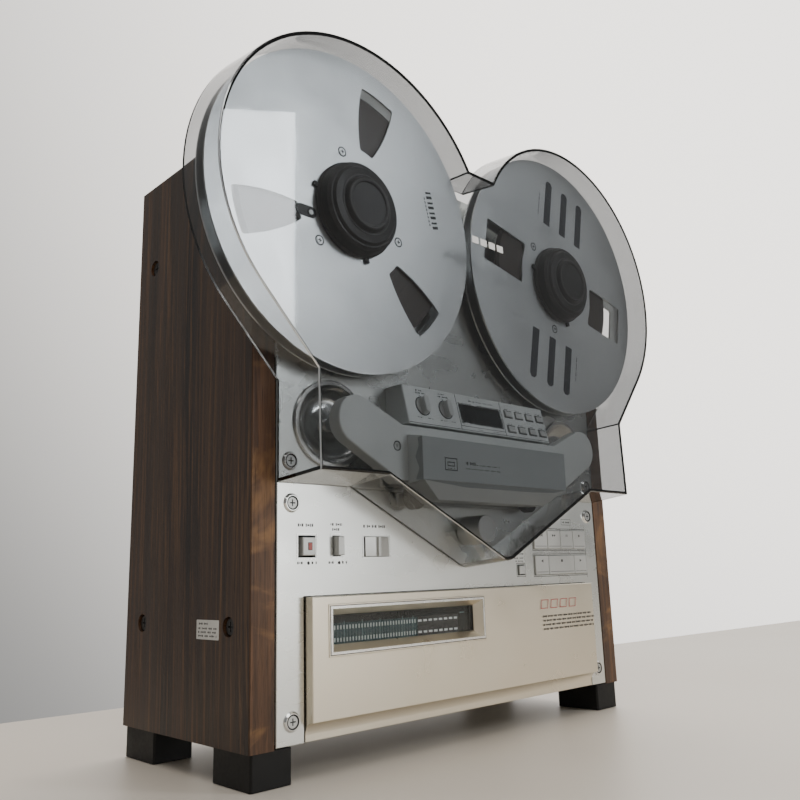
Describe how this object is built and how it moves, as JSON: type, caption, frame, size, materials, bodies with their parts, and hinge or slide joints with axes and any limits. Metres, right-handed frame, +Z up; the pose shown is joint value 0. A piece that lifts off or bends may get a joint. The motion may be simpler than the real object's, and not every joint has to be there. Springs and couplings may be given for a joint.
{
  "type": "reel to reel tape deck",
  "caption": "Upright reel to reel tape deck with wooden sides, large metal reels under a smoked dust cover, a drop-down door and push keys.",
  "frame": {"origin": "on the table plane, at the middle of the whole deck's width and depth", "axes": "+Z up, front faces -Y, +X to the right as seen from the front"},
  "size_m": [0.5566, 0.241, 0.5628],
  "materials": {
    "walnut_veneer": "satin",
    "panel_aluminium": "brushed",
    "door_aluminium": "satin",
    "reel_aluminium": "satin",
    "knob_aluminium": "satin",
    "chrome_trim": "polished",
    "black_steel": "matte",
    "zinc_steel": "satin",
    "black_plastic": "matte",
    "grey_moulding": "satin",
    "silver_plastic": "satin",
    "smoked_acrylic": "gloss",
    "clear_pane": "gloss",
    "display_black": "gloss",
    "tape_brown": "gloss",
    "black_rubber": "matte",
    "board_green": "matte",
    "motor_steel": "satin"
  },
  "bodies": {
    "cabinet": {"wood_side_left": "walnut_veneer", "wood_side_right": "walnut_veneer", "upper_front_panel": "panel_aluminium", "lower_front_panel": "panel_aluminium", "top_cover": "black_steel", "bottom_cover": "zinc_steel", "rear_cover": "black_steel", "chassis_frame": "zinc_steel", "feet": "black_plastic", "side_screws": "black_steel", "front_screws": "chrome_trim", "meter_display": "display_black", "control_subpanel": "black_plastic", "front_jacks": "black_plastic", "control_pod": "grey_moulding", "counter_window": "display_black", "head_cover": "grey_moulding", "head_block": "knob_aluminium", "tape_heads": "zinc_steel", "drive_motors": "motor_steel", "capstan_belt": "black_rubber", "guide_bezels": "chrome_trim", "power_transformer": "motor_steel", "circuit_boards": "board_green", "rear_connectors": "black_plastic"},
    "left_reel": {"reel_table_left": "black_plastic", "reel_left": "reel_aluminium", "tape_pack_left": "tape_brown", "hub_adapter_left": "black_plastic"},
    "right_reel": {"reel_table_right": "black_plastic", "reel_right": "reel_aluminium", "tape_pack_right": "tape_brown", "hub_adapter_right": "black_plastic"},
    "left_capstan": {"capstan_left": "zinc_steel"},
    "right_capstan": {"capstan_right": "zinc_steel"},
    "pinch_carriage": {"pinch_yoke": "zinc_steel"},
    "left_pinch_roller": {"pinch_roller_left": "black_rubber"},
    "right_pinch_roller": {"pinch_roller_right": "black_rubber"},
    "left_tension_arm": {"tension_arm_left": "zinc_steel"},
    "right_tension_arm": {"tension_arm_right": "zinc_steel"},
    "front_door": {"door": "door_aluminium", "door_window": "clear_pane"},
    "power_button": {"power_button": "silver_plastic"},
    "reel_size_button": {"reel_size_button": "silver_plastic"},
    "key_rewind": {"key_rewind": "silver_plastic"},
    "key_fast_forward": {"key_fast_forward": "silver_plastic"},
    "key_pause": {"key_pause": "silver_plastic"},
    "key_record": {"key_record": "silver_plastic"},
    "key_reverse_play": {"key_reverse_play": "silver_plastic"},
    "key_stop": {"key_stop": "silver_plastic"},
    "key_forward_play": {"key_forward_play": "silver_plastic"},
    "monitor_button": {"monitor_button": "silver_plastic"},
    "pod_keys": {"pod_keys": "silver_plastic"},
    "cue_lever": {"cue_lever": "silver_plastic"},
    "speed_knob": {"speed_knob": "silver_plastic"},
    "equalizer_knob": {"equalizer_knob": "silver_plastic"},
    "pitch_knob": {"pitch_knob": "knob_aluminium"},
    "line_level_knob": {"line_level_knob": "knob_aluminium"},
    "output_level_knob": {"output_level_knob": "knob_aluminium"},
    "dust_cover": {"dust_cover": "smoked_acrylic"}
  },
  "joints": [
    {"name": "left_reel_spin", "type": "hinge", "parent": "cabinet", "child": "left_reel", "pos_m": [-0.1365, -0.07369, 0.421], "axis": [0, 1, 0], "continuous": true},
    {"name": "right_reel_spin", "type": "hinge", "parent": "cabinet", "child": "right_reel", "pos_m": [0.1365, -0.07369, 0.421], "axis": [0, 1, 0], "continuous": true},
    {"name": "left_capstan_spin", "type": "hinge", "parent": "cabinet", "child": "left_capstan", "pos_m": [-0.072, -0.07369, 0.214], "axis": [0, 1, 0], "continuous": true},
    {"name": "right_capstan_spin", "type": "hinge", "parent": "cabinet", "child": "right_capstan", "pos_m": [0.072, -0.07369, 0.214], "axis": [0, 1, 0], "continuous": true},
    {"name": "pinch_lift", "type": "slide", "parent": "cabinet", "child": "pinch_carriage", "axis": [0, 0, 1], "range_m": [0, 0.004], "stiffness_N_per_m": 1500},
    {"name": "left_pinch_spin", "type": "hinge", "parent": "pinch_carriage", "child": "left_pinch_roller", "pos_m": [-0.072, -0.07369, 0.1972], "axis": [0, 1, 0], "continuous": true},
    {"name": "right_pinch_spin", "type": "hinge", "parent": "pinch_carriage", "child": "right_pinch_roller", "pos_m": [0.072, -0.07369, 0.1972], "axis": [0, 1, 0], "continuous": true},
    {"name": "left_tension_swing", "type": "hinge", "parent": "cabinet", "child": "left_tension_arm", "pos_m": [-0.148, -0.07369, 0.249], "axis": [0, 1, 0], "range_deg": [-25, 25], "stiffness_Nm_per_rad": 0.2},
    {"name": "right_tension_swing", "type": "hinge", "parent": "cabinet", "child": "right_tension_arm", "pos_m": [0.148, -0.07369, 0.249], "axis": [0, 1, 0], "range_deg": [-25, 25], "stiffness_Nm_per_rad": 0.2},
    {"name": "door_drop", "type": "hinge", "parent": "cabinet", "child": "front_door", "pos_m": [0, -0.06868, 0.0282], "axis": [1, 0, 0], "range_deg": [0, 85]},
    {"name": "power_button_press", "type": "slide", "parent": "cabinet", "child": "power_button", "axis": [0, 1, 0], "range_m": [0, 0.003], "stiffness_N_per_m": 600},
    {"name": "reel_size_button_press", "type": "slide", "parent": "cabinet", "child": "reel_size_button", "axis": [0, 1, 0], "range_m": [0, 0.003], "stiffness_N_per_m": 600},
    {"name": "key_rewind_press", "type": "slide", "parent": "cabinet", "child": "key_rewind", "axis": [0, 1, 0], "range_m": [0, 0.0025], "stiffness_N_per_m": 600},
    {"name": "key_fast_forward_press", "type": "slide", "parent": "cabinet", "child": "key_fast_forward", "axis": [0, 1, 0], "range_m": [0, 0.0025], "stiffness_N_per_m": 600},
    {"name": "key_pause_press", "type": "slide", "parent": "cabinet", "child": "key_pause", "axis": [0, 1, 0], "range_m": [0, 0.0025], "stiffness_N_per_m": 600},
    {"name": "key_record_press", "type": "slide", "parent": "cabinet", "child": "key_record", "axis": [0, 1, 0], "range_m": [0, 0.0025], "stiffness_N_per_m": 600},
    {"name": "key_reverse_play_press", "type": "slide", "parent": "cabinet", "child": "key_reverse_play", "axis": [0, 1, 0], "range_m": [0, 0.0025], "stiffness_N_per_m": 600},
    {"name": "key_stop_press", "type": "slide", "parent": "cabinet", "child": "key_stop", "axis": [0, 1, 0], "range_m": [0, 0.0025], "stiffness_N_per_m": 600},
    {"name": "key_forward_play_press", "type": "slide", "parent": "cabinet", "child": "key_forward_play", "axis": [0, 1, 0], "range_m": [0, 0.0025], "stiffness_N_per_m": 600},
    {"name": "monitor_button_press", "type": "slide", "parent": "cabinet", "child": "monitor_button", "axis": [0, 1, 0], "range_m": [0, 0.002], "stiffness_N_per_m": 600},
    {"name": "pod_keys_press", "type": "slide", "parent": "cabinet", "child": "pod_keys", "axis": [0, 0.973, -0.2308], "range_m": [0, 0.0015], "stiffness_N_per_m": 600},
    {"name": "cue_rock", "type": "hinge", "parent": "cabinet", "child": "cue_lever", "pos_m": [-0.104, -0.06818, 0.1573], "axis": [0, 0, 1], "range_deg": [-5, 5], "stiffness_Nm_per_rad": 1},
    {"name": "speed_knob_turn", "type": "hinge", "parent": "cabinet", "child": "speed_knob", "pos_m": [-0.072, -0.09676, 0.26854], "axis": [0, -0.973, 0.2308], "range_deg": [-40, 40]},
    {"name": "equalizer_knob_turn", "type": "hinge", "parent": "cabinet", "child": "equalizer_knob", "pos_m": [-0.045, -0.09676, 0.26854], "axis": [0, -0.973, 0.2308], "range_deg": [-40, 40]},
    {"name": "pitch_knob_turn", "type": "hinge", "parent": "cabinet", "child": "pitch_knob", "pos_m": [0, -0.07369, 0.1715], "axis": [0, 1, 0], "range_deg": [-150, 150]},
    {"name": "line_level_knob_turn", "type": "hinge", "parent": "cabinet", "child": "line_level_knob", "pos_m": [0.05, -0.07369, 0.075], "axis": [0, 1, 0], "range_deg": [-150, 150]},
    {"name": "output_level_knob_turn", "type": "hinge", "parent": "cabinet", "child": "output_level_knob", "pos_m": [0.09, -0.07369, 0.075], "axis": [0, 1, 0], "range_deg": [-150, 150]},
    {"name": "dust_cover_lift_off", "type": "slide", "parent": "cabinet", "child": "dust_cover", "axis": [0, -1, 0], "range_m": [0, 0.06]}
  ],
  "couplings": [
    {"joint": "right_capstan_spin", "follows": "left_capstan_spin", "ratio": 1}
  ]
}
